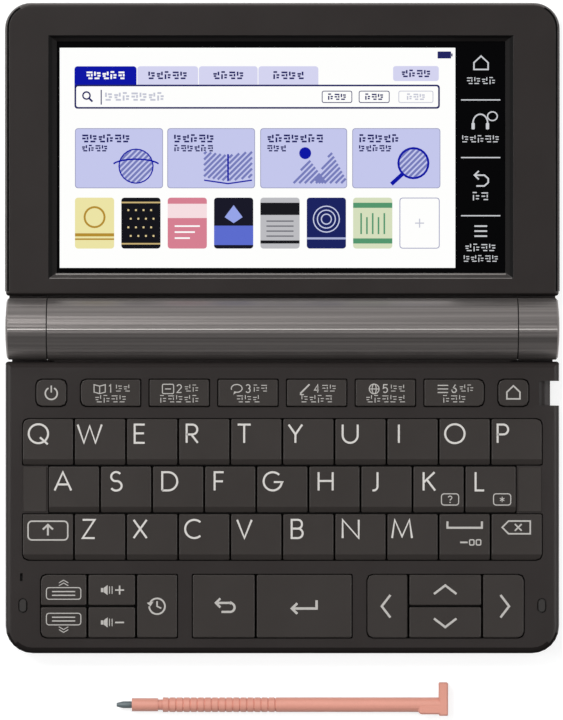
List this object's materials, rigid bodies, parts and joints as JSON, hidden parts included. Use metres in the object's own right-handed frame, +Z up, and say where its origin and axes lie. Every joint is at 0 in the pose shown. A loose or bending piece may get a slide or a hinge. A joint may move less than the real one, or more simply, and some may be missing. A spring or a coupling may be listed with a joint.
{
  "type": "electronic dictionary",
  "caption": "Pocket clamshell electronic dictionary, open flat: keyboard base, display lid, battery barrel hinge and a stylus that stores in the base.",
  "frame": {"origin": "centre of the base's flat underside, on the surface that the dictionary lies on", "axes": "+X to the right along the barrel, +Y from the keyboard towards the open lid, +Z up out of the keys"},
  "size_m": [0.148, 0.1909, 0.0167],
  "materials": {
    "shell": "fine satin texture",
    "keys": "satin, pale printed legends",
    "barrel": "metallic grey with fine lengthwise lines",
    "lid": "satin",
    "display": "glossy touch panel over a colour display",
    "cell": "plain wrapped cell with steel ends",
    "board": "solder resist",
    "stylus": "satin salmon",
    "tip": "satin grey"
  },
  "bodies": {
    "base": {"base_top_case": "shell", "base_bottom_case": "shell", "main_board": "board", "spine_shell": "barrel", "battery_left": "cell", "battery_right": "cell"},
    "lid": {"lid_back_cover": "lid", "lid_bezel": "lid", "display_module": "display"},
    "battery_cover": {"battery_cover": "barrel"},
    "stylus": {"stylus_barrel": "stylus", "stylus_tip": "tip"},
    "key_q": {"key_q": "keys"},
    "key_w": {"key_w": "keys"},
    "key_e": {"key_e": "keys"},
    "key_r": {"key_r": "keys"},
    "key_t": {"key_t": "keys"},
    "key_y": {"key_y": "keys"},
    "key_u": {"key_u": "keys"},
    "key_i": {"key_i": "keys"},
    "key_o": {"key_o": "keys"},
    "key_p": {"key_p": "keys"},
    "key_a": {"key_a": "keys"},
    "key_s": {"key_s": "keys"},
    "key_d": {"key_d": "keys"},
    "key_f": {"key_f": "keys"},
    "key_g": {"key_g": "keys"},
    "key_h": {"key_h": "keys"},
    "key_j": {"key_j": "keys"},
    "key_k": {"key_k": "keys"},
    "key_l": {"key_l": "keys"},
    "key_z": {"key_z": "keys"},
    "key_x": {"key_x": "keys"},
    "key_c": {"key_c": "keys"},
    "key_v": {"key_v": "keys"},
    "key_b": {"key_b": "keys"},
    "key_n": {"key_n": "keys"},
    "key_m": {"key_m": "keys"},
    "key_shift": {"key_shift": "keys"},
    "key_space": {"key_space": "keys"},
    "key_delete": {"key_delete": "keys"},
    "key_power": {"key_power": "keys"},
    "key_home": {"key_home": "keys"},
    "key_shortcut_1": {"key_shortcut_1": "keys"},
    "key_shortcut_2": {"key_shortcut_2": "keys"},
    "key_shortcut_3": {"key_shortcut_3": "keys"},
    "key_shortcut_4": {"key_shortcut_4": "keys"},
    "key_shortcut_5": {"key_shortcut_5": "keys"},
    "key_shortcut_6": {"key_shortcut_6": "keys"},
    "key_previous": {"key_previous": "keys"},
    "key_next": {"key_next": "keys"},
    "key_volume_up": {"key_volume_up": "keys"},
    "key_volume_down": {"key_volume_down": "keys"},
    "key_history": {"key_history": "keys"},
    "key_back": {"key_back": "keys"},
    "key_enter": {"key_enter": "keys"},
    "key_left": {"key_left": "keys"},
    "key_up": {"key_up": "keys"},
    "key_down": {"key_down": "keys"},
    "key_right": {"key_right": "keys"}
  },
  "joints": [
    {"name": "lid_hinge", "type": "hinge", "parent": "base", "child": "lid", "pos_m": [0, 0.0477, 0.0085], "axis": [1, 0, 0], "range_deg": [0, 180]},
    {"name": "battery_cover_release", "type": "slide", "parent": "base", "child": "battery_cover", "axis": [0, 0, -1], "range_m": [0, 0.012]},
    {"name": "stylus_lift", "type": "slide", "parent": "base", "child": "stylus", "axis": [0, 0, 1], "range_m": [0, 0.05]},
    {"name": "press_q", "type": "slide", "parent": "base", "child": "key_q", "axis": [0, 0, -1], "range_m": [0, 0.0008], "stiffness_N_per_m": 500},
    {"name": "press_w", "type": "slide", "parent": "base", "child": "key_w", "axis": [0, 0, -1], "range_m": [0, 0.0008], "stiffness_N_per_m": 500},
    {"name": "press_e", "type": "slide", "parent": "base", "child": "key_e", "axis": [0, 0, -1], "range_m": [0, 0.0008], "stiffness_N_per_m": 500},
    {"name": "press_r", "type": "slide", "parent": "base", "child": "key_r", "axis": [0, 0, -1], "range_m": [0, 0.0008], "stiffness_N_per_m": 500},
    {"name": "press_t", "type": "slide", "parent": "base", "child": "key_t", "axis": [0, 0, -1], "range_m": [0, 0.0008], "stiffness_N_per_m": 500},
    {"name": "press_y", "type": "slide", "parent": "base", "child": "key_y", "axis": [0, 0, -1], "range_m": [0, 0.0008], "stiffness_N_per_m": 500},
    {"name": "press_u", "type": "slide", "parent": "base", "child": "key_u", "axis": [0, 0, -1], "range_m": [0, 0.0008], "stiffness_N_per_m": 500},
    {"name": "press_i", "type": "slide", "parent": "base", "child": "key_i", "axis": [0, 0, -1], "range_m": [0, 0.0008], "stiffness_N_per_m": 500},
    {"name": "press_o", "type": "slide", "parent": "base", "child": "key_o", "axis": [0, 0, -1], "range_m": [0, 0.0008], "stiffness_N_per_m": 500},
    {"name": "press_p", "type": "slide", "parent": "base", "child": "key_p", "axis": [0, 0, -1], "range_m": [0, 0.0008], "stiffness_N_per_m": 500},
    {"name": "press_a", "type": "slide", "parent": "base", "child": "key_a", "axis": [0, 0, -1], "range_m": [0, 0.0008], "stiffness_N_per_m": 500},
    {"name": "press_s", "type": "slide", "parent": "base", "child": "key_s", "axis": [0, 0, -1], "range_m": [0, 0.0008], "stiffness_N_per_m": 500},
    {"name": "press_d", "type": "slide", "parent": "base", "child": "key_d", "axis": [0, 0, -1], "range_m": [0, 0.0008], "stiffness_N_per_m": 500},
    {"name": "press_f", "type": "slide", "parent": "base", "child": "key_f", "axis": [0, 0, -1], "range_m": [0, 0.0008], "stiffness_N_per_m": 500},
    {"name": "press_g", "type": "slide", "parent": "base", "child": "key_g", "axis": [0, 0, -1], "range_m": [0, 0.0008], "stiffness_N_per_m": 500},
    {"name": "press_h", "type": "slide", "parent": "base", "child": "key_h", "axis": [0, 0, -1], "range_m": [0, 0.0008], "stiffness_N_per_m": 500},
    {"name": "press_j", "type": "slide", "parent": "base", "child": "key_j", "axis": [0, 0, -1], "range_m": [0, 0.0008], "stiffness_N_per_m": 500},
    {"name": "press_k", "type": "slide", "parent": "base", "child": "key_k", "axis": [0, 0, -1], "range_m": [0, 0.0008], "stiffness_N_per_m": 500},
    {"name": "press_l", "type": "slide", "parent": "base", "child": "key_l", "axis": [0, 0, -1], "range_m": [0, 0.0008], "stiffness_N_per_m": 500},
    {"name": "press_z", "type": "slide", "parent": "base", "child": "key_z", "axis": [0, 0, -1], "range_m": [0, 0.0008], "stiffness_N_per_m": 500},
    {"name": "press_x", "type": "slide", "parent": "base", "child": "key_x", "axis": [0, 0, -1], "range_m": [0, 0.0008], "stiffness_N_per_m": 500},
    {"name": "press_c", "type": "slide", "parent": "base", "child": "key_c", "axis": [0, 0, -1], "range_m": [0, 0.0008], "stiffness_N_per_m": 500},
    {"name": "press_v", "type": "slide", "parent": "base", "child": "key_v", "axis": [0, 0, -1], "range_m": [0, 0.0008], "stiffness_N_per_m": 500},
    {"name": "press_b", "type": "slide", "parent": "base", "child": "key_b", "axis": [0, 0, -1], "range_m": [0, 0.0008], "stiffness_N_per_m": 500},
    {"name": "press_n", "type": "slide", "parent": "base", "child": "key_n", "axis": [0, 0, -1], "range_m": [0, 0.0008], "stiffness_N_per_m": 500},
    {"name": "press_m", "type": "slide", "parent": "base", "child": "key_m", "axis": [0, 0, -1], "range_m": [0, 0.0008], "stiffness_N_per_m": 500},
    {"name": "press_shift", "type": "slide", "parent": "base", "child": "key_shift", "axis": [0, 0, -1], "range_m": [0, 0.0008], "stiffness_N_per_m": 500},
    {"name": "press_space", "type": "slide", "parent": "base", "child": "key_space", "axis": [0, 0, -1], "range_m": [0, 0.0008], "stiffness_N_per_m": 500},
    {"name": "press_delete", "type": "slide", "parent": "base", "child": "key_delete", "axis": [0, 0, -1], "range_m": [0, 0.0008], "stiffness_N_per_m": 500},
    {"name": "press_power", "type": "slide", "parent": "base", "child": "key_power", "axis": [0, 0, -1], "range_m": [0, 0.0008], "stiffness_N_per_m": 500},
    {"name": "press_home", "type": "slide", "parent": "base", "child": "key_home", "axis": [0, 0, -1], "range_m": [0, 0.0008], "stiffness_N_per_m": 500},
    {"name": "press_shortcut_1", "type": "slide", "parent": "base", "child": "key_shortcut_1", "axis": [0, 0, -1], "range_m": [0, 0.0008], "stiffness_N_per_m": 500},
    {"name": "press_shortcut_2", "type": "slide", "parent": "base", "child": "key_shortcut_2", "axis": [0, 0, -1], "range_m": [0, 0.0008], "stiffness_N_per_m": 500},
    {"name": "press_shortcut_3", "type": "slide", "parent": "base", "child": "key_shortcut_3", "axis": [0, 0, -1], "range_m": [0, 0.0008], "stiffness_N_per_m": 500},
    {"name": "press_shortcut_4", "type": "slide", "parent": "base", "child": "key_shortcut_4", "axis": [0, 0, -1], "range_m": [0, 0.0008], "stiffness_N_per_m": 500},
    {"name": "press_shortcut_5", "type": "slide", "parent": "base", "child": "key_shortcut_5", "axis": [0, 0, -1], "range_m": [0, 0.0008], "stiffness_N_per_m": 500},
    {"name": "press_shortcut_6", "type": "slide", "parent": "base", "child": "key_shortcut_6", "axis": [0, 0, -1], "range_m": [0, 0.0008], "stiffness_N_per_m": 500},
    {"name": "press_previous", "type": "slide", "parent": "base", "child": "key_previous", "axis": [0, 0, -1], "range_m": [0, 0.0008], "stiffness_N_per_m": 500},
    {"name": "press_next", "type": "slide", "parent": "base", "child": "key_next", "axis": [0, 0, -1], "range_m": [0, 0.0008], "stiffness_N_per_m": 500},
    {"name": "press_volume_up", "type": "slide", "parent": "base", "child": "key_volume_up", "axis": [0, 0, -1], "range_m": [0, 0.0008], "stiffness_N_per_m": 500},
    {"name": "press_volume_down", "type": "slide", "parent": "base", "child": "key_volume_down", "axis": [0, 0, -1], "range_m": [0, 0.0008], "stiffness_N_per_m": 500},
    {"name": "press_history", "type": "slide", "parent": "base", "child": "key_history", "axis": [0, 0, -1], "range_m": [0, 0.0008], "stiffness_N_per_m": 500},
    {"name": "press_back", "type": "slide", "parent": "base", "child": "key_back", "axis": [0, 0, -1], "range_m": [0, 0.0008], "stiffness_N_per_m": 500},
    {"name": "press_enter", "type": "slide", "parent": "base", "child": "key_enter", "axis": [0, 0, -1], "range_m": [0, 0.0008], "stiffness_N_per_m": 500},
    {"name": "press_left", "type": "slide", "parent": "base", "child": "key_left", "axis": [0, 0, -1], "range_m": [0, 0.0008], "stiffness_N_per_m": 500},
    {"name": "press_up", "type": "slide", "parent": "base", "child": "key_up", "axis": [0, 0, -1], "range_m": [0, 0.0008], "stiffness_N_per_m": 500},
    {"name": "press_down", "type": "slide", "parent": "base", "child": "key_down", "axis": [0, 0, -1], "range_m": [0, 0.0008], "stiffness_N_per_m": 500},
    {"name": "press_right", "type": "slide", "parent": "base", "child": "key_right", "axis": [0, 0, -1], "range_m": [0, 0.0008], "stiffness_N_per_m": 500}
  ]
}
